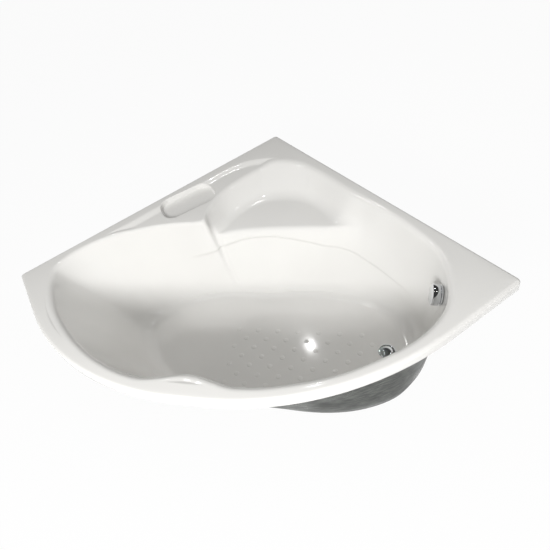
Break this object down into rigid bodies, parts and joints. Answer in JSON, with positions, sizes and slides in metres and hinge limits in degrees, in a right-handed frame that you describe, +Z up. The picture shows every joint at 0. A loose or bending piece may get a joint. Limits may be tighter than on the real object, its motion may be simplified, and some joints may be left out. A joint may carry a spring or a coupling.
{
  "type": "corner bathtub",
  "caption": "White acrylic corner bathtub with a corner seat, soap tray, pop-up waste worked by a rotary overflow knob, leg rails and a water trap.",
  "frame": {"origin": "middle of the bounding box, at the level the foot pads stand on", "axes": "+X along the long side towards the waste, +Y towards the corner of the room, +Z up"},
  "size_m": [2.1064, 1.5981, 0.6002],
  "materials": {
    "white_acrylic": "gloss",
    "laminate": "rough",
    "particle_board": "matt",
    "galvanised_steel": "satin",
    "zinc_plate": "satin",
    "chrome": "polished",
    "brass": "satin",
    "black_rubber": "matt",
    "white_plastic": "satin",
    "grey_plastic": "satin"
  },
  "bodies": {
    "tub": {"bath_shell": "white_acrylic", "fibreglass_backing": "laminate", "base_board": "particle_board", "seat_board": "particle_board", "rim_batten_left": "particle_board", "rim_batten_right": "particle_board", "leg_rail_head": "galvanised_steel", "leg_rail_foot": "galvanised_steel", "rail_screws": "zinc_plate", "leg_studs": "zinc_plate", "leg_nuts": "zinc_plate", "drain_flange": "chrome", "drain_seal": "black_rubber", "drain_lower_seal": "black_rubber", "stem_guide": "brass", "waste_body": "white_plastic", "trap_nut": "white_plastic", "trap_body": "white_plastic", "overflow_plate": "chrome", "overflow_seal": "black_rubber", "overflow_rear_seal": "black_rubber", "overflow_body": "white_plastic", "overflow_pipe": "white_plastic", "pipe_nuts": "white_plastic", "lift_cable": "grey_plastic"},
    "knob": {"overflow_knob": "chrome"},
    "plug": {"drain_plug": "chrome", "plug_seal": "black_rubber"},
    "lever": {"lift_lever": "grey_plastic"},
    "pad_head_front": {"foot_pad_head_front": "grey_plastic"},
    "pad_head_rear": {"foot_pad_head_rear": "grey_plastic"},
    "pad_foot_front": {"foot_pad_foot_front": "grey_plastic"},
    "pad_foot_rear": {"foot_pad_foot_rear": "grey_plastic"}
  },
  "joints": [
    {"name": "knob_turn", "type": "hinge", "parent": "tub", "child": "knob", "pos_m": [0.81261, -0.25732, 0.513], "axis": [-0.9788, -0.0469, 0.1994], "range_deg": [0, 90]},
    {"name": "plug_lift", "type": "slide", "parent": "tub", "child": "plug", "axis": [0, 0, 1], "range_m": [0, 0.009]},
    {"name": "lever_swing", "type": "hinge", "parent": "tub", "child": "lever", "pos_m": [0.5897, -0.2973, 0.1275], "axis": [0.5491, -0.8358, 0], "range_deg": [0, 22.1]},
    {"name": "pad_head_front_swivel", "type": "hinge", "parent": "tub", "child": "pad_head_front", "pos_m": [-0.18, -0.40412, 0], "axis": [0, 0, 1], "continuous": true},
    {"name": "pad_head_rear_swivel", "type": "hinge", "parent": "tub", "child": "pad_head_rear", "pos_m": [-0.18, 0.00588, 0], "axis": [0, 0, 1], "continuous": true},
    {"name": "pad_foot_front_swivel", "type": "hinge", "parent": "tub", "child": "pad_foot_front", "pos_m": [0.32, -0.40412, 0], "axis": [0, 0, 1], "continuous": true},
    {"name": "pad_foot_rear_swivel", "type": "hinge", "parent": "tub", "child": "pad_foot_rear", "pos_m": [0.32, 0.00588, 0], "axis": [0, 0, 1], "continuous": true}
  ],
  "couplings": [
    {"joint": "plug_lift", "follows": "knob_turn", "m_per_rad": 0.005729},
    {"joint": "lever_swing", "follows": "knob_turn", "ratio": 0.2444}
  ]
}
